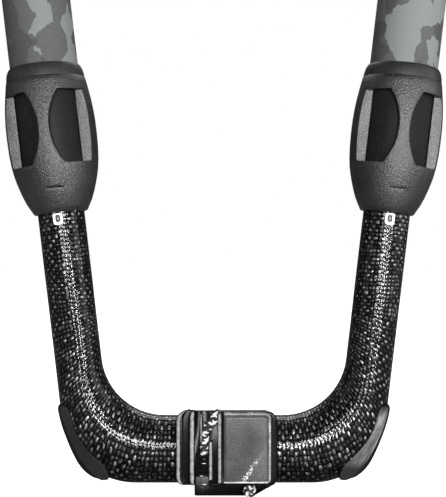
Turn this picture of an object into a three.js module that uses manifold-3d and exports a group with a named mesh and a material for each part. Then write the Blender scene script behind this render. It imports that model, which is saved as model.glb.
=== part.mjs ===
// Tail end of an adjustable windsurfing boom: a carbon U, two sliding arm ends with twist-lock
// collars, rubber bend pads, and the outhaul fitting with its cleat and line.
// Millimetres, +Z up along the arms, -Y the front face, z = 0 under the rear housing.
import * as THREE from "three";
import { mergeVertices } from "three/addons/utils/BufferGeometryUtils.js";
import Module from "manifold-3d";

const wasm = await Module();
wasm.setup();

// Tail tube
const BASE_Z = 21.7; // height of the crossbar's centreline
const LEG_R = 12.7; // outer radius of a leg
const BASE_HALF = 18.4; // half height of the crossbar
const BASE_DEPTH = 14; // half depth of the crossbar, front to back
const WALL = 2; // tube wall
const LEAN = THREE.MathUtils.degToRad(6.7); // each leg leans outwards by this
const COLLAR_FOOT = [89.42, 151.2]; // x and z of the leg axis at the collar's lower rim
const INNER_BEND = 35; // bend radius of the silhouette's inner edge
const OUTER_BEND = 41; // bend radius of the silhouette's outer edge
const LEG_END = 215; // distances along a leg are measured from the collar's lower rim

// Arm ends and collars, along the leg axis
const ARM_BORE = 13.4;
const ARM_R = 16;
const ARM_FOOT = 22;
const ARM_END = 235;
const GRIP_R = 18.5;
const GRIP = [70.6, 220];
const FERRULE_R = 18.7;
const COLLAR_TOP = 80;
const WINDOW = [25.5, 64.5];
const WINDOW_WALL = 10; // the side ribs end in flat walls this far from the middle plane
const RIB_WAIST = 2.9;
const RIB_ROOT = 8.8;
const COLLAR_OUTSIDE = [
  [14.4, 0],
  [17.6, 6],
  [20.9, 15],
  [22.8, 22],
  [23.9, 30],
  [24.4, 40],
  [24.3, 50],
  [23.6, 60],
  [22.3, 69],
  [21, 76],
  [20.2, 78.6],
  [19.4, COLLAR_TOP],
];
const LABEL = [-6.9, -0.7];

// Outhaul fitting, across the crossbar
const FIT_X = [-25.1, 27.8];
const FIT_Z = [6.6, 46.2];
const FRONT = -21;
const CHANNEL_FLOOR = -15.6;
const PLATE_FLOOR = -18.7;
const CLEAR = 0.3;
const LINE_R = 2.2;
const LINE_PATH = [
  [-3, -11.3, 41.3],
  [-3.1, -14.2, 43],
  [-3.6, -17, 43.6],
  [-5, -18.7, 41.6],
  [-6.9, -18.8, 39.4],
  [-8.9, -18.7, 36.6],
  [-10.1, -18.6, 32.8],
  [-10.4, -18.4, 27],
  [-10.6, -18.1, 19],
  [-10.7, -17.8, 12.5],
  [-10.4, -16, 8],
  [-9.2, -13.4, 4.8],
  [-6, -12, 3.4],
  [0, -11.8, 3.2],
  [8, -11.8, 3.2],
  [11.6, -12.8, 3.2],
  [13.3, -15.6, 3.3],
  [13.6, -19, 3.4],
];
const KNOT_R = 3.3;

// Screws: countersunk, one size throughout
const SCREW_HEAD = 2.7;
const SCREW_R = 1.5;
const SCREW_LENGTH = 8;

const CARBON = ["#17181a", 0.25];
const POLYMER = ["#2b2b2b", 0.6];
const RUBBER = ["#1c1c1c", 0.8];

// ---------- helpers ----------

function solid(geometry) {
  const bare = geometry.index ? geometry.toNonIndexed() : geometry.clone();
  bare.deleteAttribute("normal");
  bare.deleteAttribute("uv");
  const merged = mergeVertices(bare, 1e-4);
  const kept = [];
  const index = merged.index.array;
  for (let i = 0; i < index.length; i += 3) {
    const [a, b, c] = [index[i], index[i + 1], index[i + 2]];
    if (a !== b && b !== c && c !== a) kept.push(a, b, c);
  }
  const make = (triVerts) =>
    new wasm.Manifold(
      new wasm.Mesh({
        numProp: 3,
        vertProperties: merged.attributes.position.array,
        triVerts: new Uint32Array(triVerts),
      }),
    );
  const made = make(kept);
  return made.volume() < 0 ? make(kept.reverse()) : made;
}

function geometryOf(made) {
  const mesh = made.getMesh();
  const geometry = new THREE.BufferGeometry();
  const points = new Float32Array(mesh.vertProperties);
  geometry.setAttribute("position", new THREE.BufferAttribute(points, 3));
  geometry.setIndex([...mesh.triVerts]);
  geometry.computeVertexNormals();
  return geometry;
}

// A ring turned about Z from a closed [radius, height] profile.
function turned(profile, segments = 36) {
  const points = profile.map(([r, s]) => new THREE.Vector2(r, s));
  points.push(points[0].clone());
  const geometry = new THREE.LatheGeometry(points, segments);
  geometry.rotateX(Math.PI / 2);
  return solid(geometry);
}

function tube(inner, outer, low, high, segments = 36) {
  const profile = [
    [inner, low],
    [outer, low],
    [outer, high],
    [inner, high],
  ];
  return turned(profile, segments);
}

function block(x0, x1, y0, y1, z0, z1) {
  const geometry = new THREE.BoxGeometry(x1 - x0, y1 - y0, z1 - z0);
  geometry.translate((x0 + x1) / 2, (y0 + y1) / 2, (z0 + z1) / 2);
  return solid(geometry);
}

// Corners given as [a, b, radius] are rounded.
function rounded(corners, steps = 4) {
  const out = [];
  corners.forEach(([a, b, radius = 0], i) => {
    const here = new THREE.Vector2(a, b);
    if (!radius) {
      out.push(here);
      return;
    }
    const last = corners[(i + corners.length - 1) % corners.length];
    const next = corners[(i + 1) % corners.length];
    const back = new THREE.Vector2(last[0], last[1]).sub(here).normalize();
    const on = new THREE.Vector2(next[0], next[1]).sub(here).normalize();
    const half = Math.acos(back.dot(on)) / 2;
    const reach = radius / Math.tan(half);
    const from = here.clone().addScaledVector(back, reach);
    const to = here.clone().addScaledVector(on, reach);
    const curve = new THREE.QuadraticBezierCurve(from, here, to);
    out.push(...curve.getPoints(steps));
  });
  return out;
}

// A prism along Y from corners in (x, z).
function prismY(corners, y0, y1) {
  const shape = new THREE.Shape(rounded(corners));
  const options = { depth: y1 - y0, bevelEnabled: false };
  const geometry = new THREE.ExtrudeGeometry(shape, options);
  geometry.rotateX(Math.PI / 2);
  geometry.translate(0, y1, 0);
  return solid(geometry);
}

// A prism along X from corners in (y, z).
function prismX(corners, x0, x1) {
  const shape = new THREE.Shape(rounded(corners));
  const options = { depth: x1 - x0, bevelEnabled: false };
  const geometry = new THREE.ExtrudeGeometry(shape, options);
  const turn = new THREE.Matrix4().makeBasis(
    new THREE.Vector3(0, 1, 0),
    new THREE.Vector3(0, 0, 1),
    new THREE.Vector3(1, 0, 0),
  );
  geometry.applyMatrix4(turn);
  geometry.translate(x0, 0, 0);
  return solid(geometry);
}

function ellipse(a, b, clear, count = 48) {
  const corners = [];
  for (let i = 0; i < count; i++) {
    const t = (2 * Math.PI * i) / count;
    corners.push([(a + clear) * Math.cos(t), BASE_Z + (b + clear) * Math.sin(t)]);
  }
  return corners;
}

// Closed rings of points, joined one to the next and the last to the first.
function loft(rings) {
  const count = rings[0].length;
  const index = [];
  for (let i = 0; i < rings.length; i++) {
    const next = (i + 1) % rings.length;
    for (let j = 0; j < count; j++) {
      const k = (j + 1) % count;
      const [a, b, c, d] = [i * count + j, i * count + k, next * count + k, next * count + j];
      index.push(a, b, c, a, c, d);
    }
  }
  const geometry = new THREE.BufferGeometry().setFromPoints(rings.flat());
  geometry.setIndex(index);
  return solid(geometry);
}

function sweep(path, radius, segments = 6) {
  const curve = new THREE.CatmullRomCurve3(path.map((p) => new THREE.Vector3(...p)));
  const shape = new THREE.Shape();
  shape.absarc(0, 0, radius, 0, 2 * Math.PI, false);
  const options = { steps: 48, extrudePath: curve, curveSegments: segments };
  return solid(new THREE.ExtrudeGeometry(shape, options));
}

function ball(at, radius, squash = 1) {
  const geometry = new THREE.SphereGeometry(radius, 14, 9);
  geometry.scale(1, squash, 1);
  geometry.translate(...at);
  return solid(geometry);
}

function joined(pieces) {
  return pieces.reduce((sum, piece) => sum.add(piece));
}

// What is left of a piece after its cuts, without loose slivers.
function largest(made) {
  return made.decompose().sort((a, b) => b.volume() - a.volume())[0];
}

const tail = new THREE.Group();
tail.name = "tail";

function node(name, made, [colour, roughness], parent = tail) {
  const material = new THREE.MeshStandardMaterial({ color: colour, roughness });
  const mesh = new THREE.Mesh(geometryOf(made), material);
  mesh.name = name;
  parent.add(mesh);
  return mesh;
}

// ---------- tail tube ----------

// One edge of the silhouette, right half: down the leg, round the bend, along to the middle.
function edge(sideways, height, radius, count) {
  const [footX, footZ] = COLLAR_FOOT;
  const tan = Math.tan(LEAN);
  const offset = sideways / Math.cos(LEAN);
  const legX = (z) => footX + offset + (z - footZ) * tan;
  const turn = Math.PI / 2 - LEAN;
  const reach = radius * Math.tan(turn / 2);
  const above = sideways < 0 ? 1 : -1;
  const baseZ = BASE_Z + above * height;
  const centreX = legX(baseZ) - reach;
  const centreZ = baseZ + radius;
  const curve = new THREE.CurvePath();
  const start = new THREE.Vector2(legX(105), 105);
  const from = (angle) =>
    new THREE.Vector2(centreX + radius * Math.cos(angle), centreZ - radius * Math.sin(angle));
  curve.add(new THREE.LineCurve(start, from(LEAN)));
  const arc = [];
  for (let i = 0; i <= 24; i++) arc.push(from(LEAN + (turn * i) / 24));
  for (let i = 0; i < 24; i++) curve.add(new THREE.LineCurve(arc[i], arc[i + 1]));
  curve.add(new THREE.LineCurve(arc[24], new THREE.Vector2(30, baseZ)));
  const points = [];
  for (let i = 0; i <= count; i++) points.push(curve.getPointAt(i / count));
  return points;
}

function tailRings(inset, count = 20, segments = 28) {
  const inner = edge(-LEG_R, BASE_HALF, INNER_BEND, count);
  const outer = edge(LEG_R, BASE_HALF, OUTER_BEND, count);
  const stations = inner.map((point, i) => {
    const share = THREE.MathUtils.smoothstep(i / count, 0.15, 0.85);
    const depth = LEG_R + (BASE_DEPTH - LEG_R) * share;
    return [point, outer[i], depth];
  });
  const end = [-1, 1].map((side) => {
    const x = COLLAR_FOOT[0] + LEG_END * Math.sin(LEAN) + side * LEG_R * Math.cos(LEAN);
    const z = COLLAR_FOOT[1] + LEG_END * Math.cos(LEAN) - side * LEG_R * Math.sin(LEAN);
    return new THREE.Vector2(x, z);
  });
  stations.unshift([end[0], end[1], LEG_R]);
  const half = stations.map(([a, b, depth]) => {
    const middle = a.clone().add(b).multiplyScalar(0.5);
    const across = b.clone().sub(a).multiplyScalar(0.5);
    const width = across.length();
    across.normalize();
    const ring = [];
    for (let j = 0; j < segments; j++) {
      const t = (2 * Math.PI * j) / segments;
      const w = (width - inset) * Math.cos(t);
      const y = (depth - inset) * Math.sin(t);
      ring.push(new THREE.Vector3(middle.x + across.x * w, y, middle.y + across.y * w));
    }
    return ring;
  });
  const mirrored = half.map((ring) => ring.map((p) => new THREE.Vector3(-p.x, p.y, p.z)));
  return [...half, ...mirrored.reverse()];
}

function screwShape(clear = 0) {
  const r = SCREW_R + clear;
  const head = SCREW_HEAD + clear;
  const low = clear ? -SCREW_LENGTH - 4 : -SCREW_LENGTH;
  const high = clear ? 4 : 0;
  const profile = [
    [0, low],
    [r, low],
    [r, -1.6],
    [head, -0.3 - clear],
    [head, high],
    [0, high],
  ];
  const points = profile.map(([a, s]) => new THREE.Vector2(a, s));
  const geometry = new THREE.LatheGeometry(points, 14);
  geometry.rotateX(Math.PI / 2);
  const body = solid(geometry);
  if (clear) return body;
  const cross = block(-1.5, 1.5, -0.35, 0.35, -0.9, 1).add(block(-0.35, 0.35, -1.5, 1.5, -0.9, 1));
  return body.subtract(cross);
}

// Each screw: where its head sits and the way the head faces.
const BACK = [-90, 0, 0];
const AHEAD = [90, 0, 0];
const BELOW = [180, 0, 0];
const SCREWS = {
  back_screw_1: [[-19, 16.4, 28.5], BACK],
  back_screw_2: [[-19, 16.4, 15], BACK],
  back_screw_3: [[21.5, 16.4, 28.5], BACK],
  back_screw_4: [[21.5, 16.4, 15], BACK],
  front_screw_1: [[4.5, PLATE_FLOOR + 0.4, BASE_Z], AHEAD],
  front_screw_2: [[20, PLATE_FLOOR + 0.4, BASE_Z], AHEAD],
  housing_screw_1: [[-11, 3, 0.4], BELOW],
  housing_screw_2: [[13, 3, 0.4], BELOW],
};

function placed(name, clear = 0) {
  const [at, turn] = SCREWS[name];
  return screwShape(clear).rotate(turn).translate(at);
}

function screwRoom(clear) {
  return joined(Object.keys(SCREWS).map((name) => placed(name, clear)));
}

const rings = tailRings(0);
const bore = tailRings(WALL).reverse();
node("tail_frame", loft([...rings, ...bore]).subtract(screwRoom(0.2)), CARBON);

// ---------- bend pads ----------

const PAD_OUTLINE = [
  [81.5, 38.5, 2],
  [88.4, 47.1, 1.5],
  [90.7, 43.5, 3],
  [87.9, 33.1, 8],
  [84.4, 24.2, 12],
  [80.7, 15.9, 5],
  [77.5, 11.5, 4],
  [73.3, 8.1, 4],
  [69.9, 6.8, 3],
  [63.8, 7],
  [66.5, 15, 2],
];
const PAD_HALF = 10;

// The outside of the tube, a little swollen and closed at its ends, to cut what wraps it.
function tubeCore(grow) {
  const outside = tailRings(-grow);
  const first = outside[0];
  const last = outside[outside.length - 1];
  const middle = (ring) => ring.reduce((s, p) => s.add(p), new THREE.Vector3()).divideScalar(ring.length);
  const cap = (ring) => ring.map(() => middle(ring));
  return loft([cap(first), ...outside, cap(last)]);
}

function pad() {
  const slab = prismY(PAD_OUTLINE, -PAD_HALF, PAD_HALF);
  return slab.subtract(tubeCore(0.15));
}

const rightPad = pad();
node("right_bend_pad", rightPad, RUBBER);
node("left_bend_pad", rightPad.mirror([1, 0, 0]), RUBBER);

// ---------- arm ends and collars ----------

function collarShell() {
  const inside = [
    [18.9, COLLAR_TOP],
    [18.9, 73.4],
    [20.2, 73.4],
    [20.2, 65.9],
    [19.1, 65.9],
    [19.1, 20.5],
    [17.9, 20.5],
    [15.6, 5],
    [13.4, 5],
    [13.4, 3.7],
    [14.2, 3.7],
    [14.2, 1.3],
    [13.4, 1.3],
    [13.4, 0],
  ];
  let shell = turned([...COLLAR_OUTSIDE, ...inside], 40);
  const middle = (WINDOW[0] + WINDOW[1]) / 2;
  const half = (WINDOW[1] - WINDOW[0]) / 2;
  const nearEdge = [];
  for (let i = 0; i <= 10; i++) {
    const t = -1 + i / 5;
    nearEdge.push([RIB_WAIST + (RIB_ROOT - RIB_WAIST) * t * t, middle + half * t]);
  }
  for (const side of [-1, 1]) {
    const outline = [...nearEdge, [32, WINDOW[1]], [32, WINDOW[0]]].map(([x, s]) => [side * x, s]);
    shell = shell.subtract(prismY(outline, -30, -WINDOW_WALL));
    shell = shell.subtract(prismY(outline, WINDOW_WALL, 30));
  }
  const slot = block(-5.6, 5.6, -30, -19.5, 12.5, 13.3);
  return shell.subtract(slot).subtract(slot.mirror([0, 1, 0]));
}

function label() {
  const corners = [
    [-2.8, LABEL[0], 1.2],
    [2.8, LABEL[0], 1.2],
    [2.8, LABEL[1], 1.2],
    [-2.8, LABEL[1], 1.2],
  ];
  const skin = tube(LEG_R + 0.06, LEG_R + 0.26, LABEL[0] - 1, LABEL[1] + 1, 96);
  return skin.intersect(prismY(corners, -20, -5));
}

const shell = collarShell();
const bushProfile = [
  [7.5, LEG_END - 18],
  [10.3, LEG_END - 18],
  [10.3, LEG_END + 0.3],
  [12.95, LEG_END + 0.3],
  [12.95, LEG_END + 4],
  [7.5, LEG_END + 4],
];
const bush = turned(bushProfile, 32);
const colletProfile = [
  [13.2, 5.4],
  [15.3, 5.4],
  [17.5, 20.3],
  [13.2, 20.3],
];
const fingers = joined(
  [30, 150, 270].map((angle) => block(0, 30, -0.9, 0.9, 11, 40).rotate([0, 0, angle])),
);
const split = block(-1, 1, 5, 30, 0, 40);
const collet = turned(colletProfile).subtract(split).subtract(fingers);
const ferruleProfile = [
  [ARM_R + CLEAR, ARM_FOOT],
  [FERRULE_R, ARM_FOOT],
  [FERRULE_R, 66.4],
  [19.9, 66.4],
  [19.9, 69.6],
  [ARM_R + CLEAR, 69.6],
];
const ferrule = turned(ferruleProfile, 40);
const keeper = tube(18.8, 20, 70, 72.9).subtract(block(-2, 2, 10, 30, 60, 80));
const gripProfile = [
  [ARM_R + CLEAR, GRIP[0]],
  [GRIP_R, GRIP[0]],
  [GRIP_R, GRIP[1] - 1.5],
  [GRIP_R - 1, GRIP[1]],
  [ARM_R + CLEAR, GRIP[1]],
];

for (const [name, side] of [["left", -1], ["right", 1]]) {
  const leg = new THREE.Group();
  leg.name = name + "_leg";
  leg.position.set(side * COLLAR_FOOT[0], 0, COLLAR_FOOT[1]);
  leg.rotation.y = side * LEAN;
  tail.add(leg);
  node(name + "_leg_bush", bush, POLYMER, leg);
  node(name + "_scale_label", label(), ["#f2f2f0", 0.5], leg);
  node(name + "_arm_tube", tube(ARM_BORE, ARM_R, ARM_FOOT, ARM_END), CARBON, leg);
  node(name + "_arm_grip", turned(gripProfile), ["#5a5d5a", 0.9], leg);
  node(name + "_collar_ferrule", ferrule, POLYMER, leg);
  node(name + "_collar_keeper", keeper, ["#9a9ca0", 0.4], leg);
  node(name + "_collar_collet", collet, ["#3a3a38", 0.6], leg);
  node(name + "_thrust_washer", tube(13.5, 18.8, 20.7, 21.6), ["#c9c6bb", 0.5], leg);
  node(name + "_wiper_seal", tube(13.15, 14, 1.6, 3.4), RUBBER, leg);
  node(name + "_collar_shell", shell, POLYMER, leg);
}

// ---------- outhaul fitting ----------

const crossbar = prismX(ellipse(BASE_DEPTH, BASE_HALF, CLEAR), -40, 40);
const knots = [
  [LINE_PATH[0], KNOT_R, 0.85],
  [LINE_PATH[LINE_PATH.length - 1], KNOT_R, 0.75],
];
const lineRoom = joined([
  sweep(LINE_PATH, LINE_R + 0.3),
  ball(knots[0][0], KNOT_R + 0.4),
  block(-6.7, 0.7, -14.5, -7.6, 41.3, 50),
]);

const frontSection = [
  [FRONT, FIT_Z[0], 1.5],
  [FRONT, FIT_Z[1] - 0.6, 1.2],
  [-18.5, FIT_Z[1], 1],
  [-11, 44.4, 4],
  [-0.15, 42.5],
  [-0.15, FIT_Z[0]],
];
const faceOutline = [
  [FIT_X[0], FIT_Z[0], 4.5],
  [FIT_X[1], FIT_Z[0], 3.5],
  [FIT_X[1], FIT_Z[1] + 0.3, 3.5],
  [FIT_X[0], FIT_Z[1] + 0.3, 6],
];
const reliefs = [
  block(-22.3, -17.6, -30, -19.7, 0, 60), // hollow of the left roll
  block(-15.7, -7.9, -30, CHANNEL_FLOOR, 0, 60), // line channel
  block(-7.9, -3.1, -30, -16.6, 0, 60), // band beside it
  block(-1.4, 25.3, -30, PLATE_FLOOR, 7.2, 45.7), // plate seat
  block(25.3, 30, -30, -19.9, 0, 60), // right flange
];
const ribs = [
  block(-12.6, -11.5, -19.6, -15, 29.1, 44.6),
  block(-7.9, -6.25, -20.4, -15, 9.3, 29.9),
];
let body = prismX(frontSection, FIT_X[0], FIT_X[1]).intersect(prismY(faceOutline, -30, 0));
for (const cut of reliefs) body = body.subtract(cut);
body = joined([body, ...ribs]).subtract(crossbar).subtract(lineRoom).subtract(screwRoom(0.3));
node("fitting_body", largest(body), POLYMER);

const backSection = [
  [0.15, FIT_Z[0]],
  [0.15, 42.4],
  [5, 41.9, 4],
  [11.5, 38.6, 5],
  [16.8, 30, 6],
  [16.8, 12, 4],
  [15.4, FIT_Z[0]],
];
const backOutline = [
  [FIT_X[0] + 0.6, FIT_Z[0], 4],
  [FIT_X[1] - 0.6, FIT_Z[0], 4],
  [FIT_X[1] - 0.6, FIT_Z[1], 5],
  [FIT_X[0] + 0.6, FIT_Z[1], 5],
];
const backShell = prismX(backSection, FIT_X[0], FIT_X[1])
  .intersect(prismY(backOutline, 0, 30))
  .subtract(crossbar)
  .subtract(screwRoom(0.3));
node("fitting_back_shell", backShell, POLYMER);

const housingOutline = [
  [-15.7, 0, 1],
  [16.2, 0, 2],
  [20.5, 2.6, 2],
  [27.4, 6.3],
  [-15.7, 6.3],
];
const housing = prismY(housingOutline, -16, 13)
  .subtract(crossbar)
  .subtract(lineRoom)
  .subtract(screwRoom(0.3));
node("rear_housing", largest(housing), POLYMER);

const plateCorners = [
  [0.97, 8.7, 0.4],
  [23.8, 8.7, 1.6],
  [23.8, 44.2, 1.6],
  [0.97, 44.2, 0.4],
];
const plateShape = new THREE.Shape(rounded(plateCorners));
const plateGeometry = new THREE.ExtrudeGeometry(plateShape, {
  depth: 1.6,
  bevelThickness: 0.8,
  bevelSize: 1.1,
  bevelSegments: 2,
});
plateGeometry.rotateX(Math.PI / 2);
plateGeometry.translate(0, -18.8, 0);
const frame = (inset) => [
  [0.97 + 0.4 + inset, 8.7 + inset],
  [23.2 - inset, 8.7 + inset],
  [23.2 - inset, 43 - inset],
  [0.97 + 0.4 + inset, 43 - inset],
];
const scored = prismY(frame(0), -25, -20.85).subtract(prismY(frame(0.35), -26, -20));
const plate = solid(plateGeometry).intersect(block(-1, 26, -22, -19, 0, 60)).subtract(scored);
node("cover_plate", plate, ["#8d9090", 0.35]);

let cleat = block(-14.6, -8.3, -20.9, -15.9, 11.9, 22.6);
for (let k = 0; k < 4; k++) {
  const z = 13.6 + k * 2.3;
  const notch = [
    [-22, z - 1],
    [-20.2, z],
    [-22, z + 1],
  ];
  cleat = cleat.subtract(prismX(notch, -13.6, -7));
}
node("line_cleat", largest(cleat.subtract(sweep(LINE_PATH, LINE_R + 0.25))), ["#141414", 0.5]);

const strap = joined([
  block(-14.9, -8.3, -20.9, -20.3, 7.4, 11.3),
  block(-14.9, -13.4, -20.9, -15.9, 7.4, 11.3),
  block(-12.6, -11.9, -21.3, -20.3, 7.4, 11.3),
]);
node("cleat_strap", largest(strap.subtract(sweep(LINE_PATH, LINE_R + 0.1))), ["#77797a", 0.4]);

const line = joined([
  sweep(LINE_PATH, LINE_R),
  ...knots.map(([at, radius, squash]) => ball(at, radius, squash)),
]);
node("outhaul_line", line, ["#b8b8b4", 0.9]);

for (const name of Object.keys(SCREWS)) node(name, placed(name), ["#b5b7ba", 0.3]);

export default tail;
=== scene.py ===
"""Looks for the windsurfing boom tail end.

Lengths of shapes are millimetres, turned into metres as meshes are made.
Materials see the object in metres, with Z up and Y to the back.
"""

import math

import bmesh
import bpy
from mathutils import Matrix, Vector


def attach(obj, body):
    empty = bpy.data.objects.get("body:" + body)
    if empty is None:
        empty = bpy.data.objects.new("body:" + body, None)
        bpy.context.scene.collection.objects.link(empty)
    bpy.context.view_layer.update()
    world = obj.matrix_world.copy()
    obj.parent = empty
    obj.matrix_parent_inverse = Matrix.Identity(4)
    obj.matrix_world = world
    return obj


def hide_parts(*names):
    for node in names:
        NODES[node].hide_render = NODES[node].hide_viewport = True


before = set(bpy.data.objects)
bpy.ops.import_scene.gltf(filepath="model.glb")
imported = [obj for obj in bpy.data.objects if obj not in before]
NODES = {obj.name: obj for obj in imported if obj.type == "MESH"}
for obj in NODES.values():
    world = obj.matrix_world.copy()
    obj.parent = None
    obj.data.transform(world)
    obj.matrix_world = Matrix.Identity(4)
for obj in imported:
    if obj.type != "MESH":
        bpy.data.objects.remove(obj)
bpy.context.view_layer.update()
MM = 0.001


def add_object(name, data):
    made = bpy.data.objects.new(name, data)
    bpy.context.scene.collection.objects.link(made)
    return made


# ---------- camera ----------

camera = add_object("camera", bpy.data.cameras.new("camera"))
camera.data.lens = 68.8
camera.data.sensor_width = 36
camera.data.clip_start = 0.01
camera.location = (-0.0005, -0.522, 0.1317)
camera.rotation_euler = (math.pi / 2, 0, 0)
bpy.context.scene.camera = camera

# ---------- dimensions shared with the CAD ----------

LEAN = math.radians(6.7)  # each leg leans out
FOOT = (89.42, 151.2)  # x and z of a leg's axis at the foot of its collar
BASE_Z = 21.7
LEG_R = 12.7
BASE_HALF, BASE_DEPTH = 18.4, 14  # half height and half depth of the crossbar
INNER_BEND, OUTER_BEND = 35, 41
LEG_END = 215  # along the leg from the collar's foot
SIDES = ((-1, "left"), (1, "right"))

# One cell of the weave, and how many go round the tail tube and the arms.
CELL = 2.2
CELLS_ROUND_TAIL, CELLS_ROUND_ARM = 38, 46

# ---------- material helpers ----------


def node(tree, kind, inputs=None, **settings):
    made = tree.nodes.new(kind)
    for key, value in settings.items():
        setattr(made, key, value)
    for key, value in (inputs or {}).items():
        if isinstance(value, bpy.types.NodeSocket):
            tree.links.new(value, made.inputs[key])
        else:
            made.inputs[key].default_value = value
    return made


def maths(tree, operation, a, b=0.0, c=0.0):
    made = node(tree, "ShaderNodeMath", {0: a, 1: b, 2: c}, operation=operation)
    return made.outputs[0]


def vectors(tree, operation, *values):
    made = node(tree, "ShaderNodeVectorMath", dict(enumerate(values)), operation=operation)
    return made.outputs[0]


def object_place(tree):
    return node(tree, "ShaderNodeTexCoord").outputs["Object"]


def axes(tree, vector):
    return node(tree, "ShaderNodeSeparateXYZ", {0: vector}).outputs


def weave_map(tree):
    return node(tree, "ShaderNodeUVMap", uv_map="weave").outputs["UV"]


def fade(tree, value, start, end, low=0.0, high=1.0):
    """Goes from low to high while the value goes from start to end, and stays level outside."""
    inputs = {0: value, 1: start, 2: end, 3: low, 4: high}
    return node(tree, "ShaderNodeMapRange", inputs, clamp=True).outputs[0]


def blend(tree, share, first, second):
    made = node(tree, "ShaderNodeMix", {0: share, 6: first, 7: second}, data_type="RGBA")
    return made.outputs[2]


def material(name, colour, roughness, **sockets):
    made = bpy.data.materials.new(name)
    made.use_nodes = True
    shader = made.node_tree.nodes["Principled BSDF"]
    shader.inputs["Base Color"].default_value = (*colour, 1)
    shader.inputs["Roughness"].default_value = roughness
    for key, value in sockets.items():
        shader.inputs[key.replace("_", " ")].default_value = value
    return made, made.node_tree, shader


def ramp(tree, factor, stops, sharp=False):
    made = node(tree, "ShaderNodeValToRGB", {"Fac": factor})
    made.color_ramp.interpolation = "CONSTANT" if sharp else "LINEAR"
    while len(made.color_ramp.elements) < len(stops):
        made.color_ramp.elements.new(0.5)
    for element, (position, colour) in zip(made.color_ramp.elements, stops):
        element.position = position
        element.color = (*colour, 1) if hasattr(colour, "__len__") else (colour, colour, colour, 1)
    return made.outputs["Color"]


def noise(tree, scale, detail=2.0, roughness=0.5, vector=None, output="Fac"):
    vector = object_place(tree) if vector is None else vector
    inputs = {"Vector": vector, "Scale": scale, "Detail": detail, "Roughness": roughness}
    return node(tree, "ShaderNodeTexNoise", inputs).outputs[output]


def bump(tree, shader, height, strength, distance, layer="Normal"):
    inputs = {"Height": height, "Strength": strength, "Distance": distance}
    made = node(tree, "ShaderNodeBump", inputs)
    tree.links.new(made.outputs["Normal"], shader.inputs[layer])


# ---------- materials ----------


def carbon(name):
    """Plain weave under clear coat. The weave map counts cells, so tows cross at whole numbers."""
    sockets = {"Specular_IOR_Level": 0.2, "Coat_Weight": 0.35, "Coat_Roughness": 0.06}
    made, tree, shader = material(name, (0.1, 0.1, 0.1), 0.47, Metallic=0.8, **sockets)
    cells = weave_map(tree)
    wobble = noise(tree, 0.45, vector=cells, output="Color")
    wobble = vectors(tree, "SUBTRACT", wobble, (0.5, 0.5, 0.5))
    moved = vectors(tree, "MULTIPLY_ADD", wobble, (0.75, 0.75, 0), cells)
    u, v = axes(tree, moved)[:2]

    # Across and along the tow on top, each from -0.5 to 0.5 in its cell.
    whole = maths(tree, "ADD", maths(tree, "FLOOR", u), maths(tree, "FLOOR", v))
    parity = maths(tree, "FLOORED_MODULO", whole, 2.0)
    fu = maths(tree, "SUBTRACT", maths(tree, "FRACT", u), 0.5)
    fv = maths(tree, "SUBTRACT", maths(tree, "FRACT", v), 0.5)
    turn = maths(tree, "SUBTRACT", fv, fu)
    across = maths(tree, "MULTIPLY_ADD", parity, turn, fu)
    along = maths(tree, "SUBTRACT", maths(tree, "ADD", fu, fv), across)
    crown = maths(tree, "MULTIPLY_ADD", maths(tree, "MULTIPLY", across, across), -3.4, 1.0)
    dip = maths(tree, "MULTIPLY_ADD", maths(tree, "MULTIPLY", along, along), -2.9, 1.0)
    height = maths(tree, "MULTIPLY", crown, dip)

    # Each cell has its own brightness and its own fine fibres.
    cell = {"Vector": vectors(tree, "FLOOR", moved)}
    chance = node(tree, "ShaderNodeTexWhiteNoise", cell, noise_dimensions="2D").outputs["Value"]
    directions = {
        0: maths(tree, "MULTIPLY", across, 3.4),
        1: maths(tree, "MULTIPLY", along, 0.7),
        2: maths(tree, "MULTIPLY", chance, 40.0),
    }
    fibres = node(tree, "ShaderNodeCombineXYZ", directions).outputs[0]
    streak = noise(tree, 1.3, 2, 0.6, vector=fibres)
    streak = maths(tree, "MAXIMUM", maths(tree, "MULTIPLY_ADD", streak, 2.7, -0.86), 0.0)

    # Painted shade and painted glints: the tows of one direction are painted dark, as if they turn the
    # light away, except in a few areas painted lit, and each tow is painted brightest on its crown, where
    # light would catch it.
    lit_areas = noise(tree, 0.11, vector=cells)
    lit_weft = maths(tree, "MULTIPLY_ADD", lit_areas, 1.6, -0.3)
    side = maths(tree, "MAXIMUM", parity, lit_weft)
    lively = maths(tree, "ADD", chance, 0.55)
    glint = maths(tree, "MULTIPLY", maths(tree, "MULTIPLY", height, streak), lively)
    tone = maths(tree, "MULTIPLY", glint, side)
    stops = [
        (0.08, (0.0015, 0.0015, 0.0015)),
        (0.24, (0.015, 0.0153, 0.015)),
        (0.46, (0.085, 0.088, 0.085)),
        (0.85, (0.42, 0.43, 0.42)),
    ]
    tree.links.new(ramp(tree, tone, stops), shader.inputs["Base Color"])
    bump(tree, shader, height, 0.8, 0.0005)
    lumps = noise(tree, 0.7, vector=cells)
    surface = maths(tree, "MULTIPLY_ADD", height, 0.62, lumps)
    bump(tree, shader, surface, 0.17, 0.0006, "Coat Normal")
    return made


def moulded(name, tone, roughness, grain=0.5, size=2600, depth=0.00012, gloss=0.5, blotch=0.2, lift=2.0):
    """Moulded plastic. Specks are lifted in tone, and clouds of blotch change the roughness."""
    made, tree, shader = material(name, tone, roughness, Specular_IOR_Level=gloss)
    spots = noise(tree, size, 3, 0.6)
    cloud = noise(tree, 60, 3, 0.55)
    lifted = [c * lift for c in tone]
    mixed = maths(tree, "MULTIPLY_ADD", spots, 0.75, maths(tree, "MULTIPLY", cloud, 0.35))
    tree.links.new(ramp(tree, mixed, [(0.5, tone), (0.66, lifted)]), shader.inputs["Base Color"])
    rough = maths(tree, "MULTIPLY_ADD", cloud, blotch, roughness - blotch / 2)
    tree.links.new(rough, shader.inputs["Roughness"])
    bump(tree, shader, spots, grain, depth)
    return made


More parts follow.
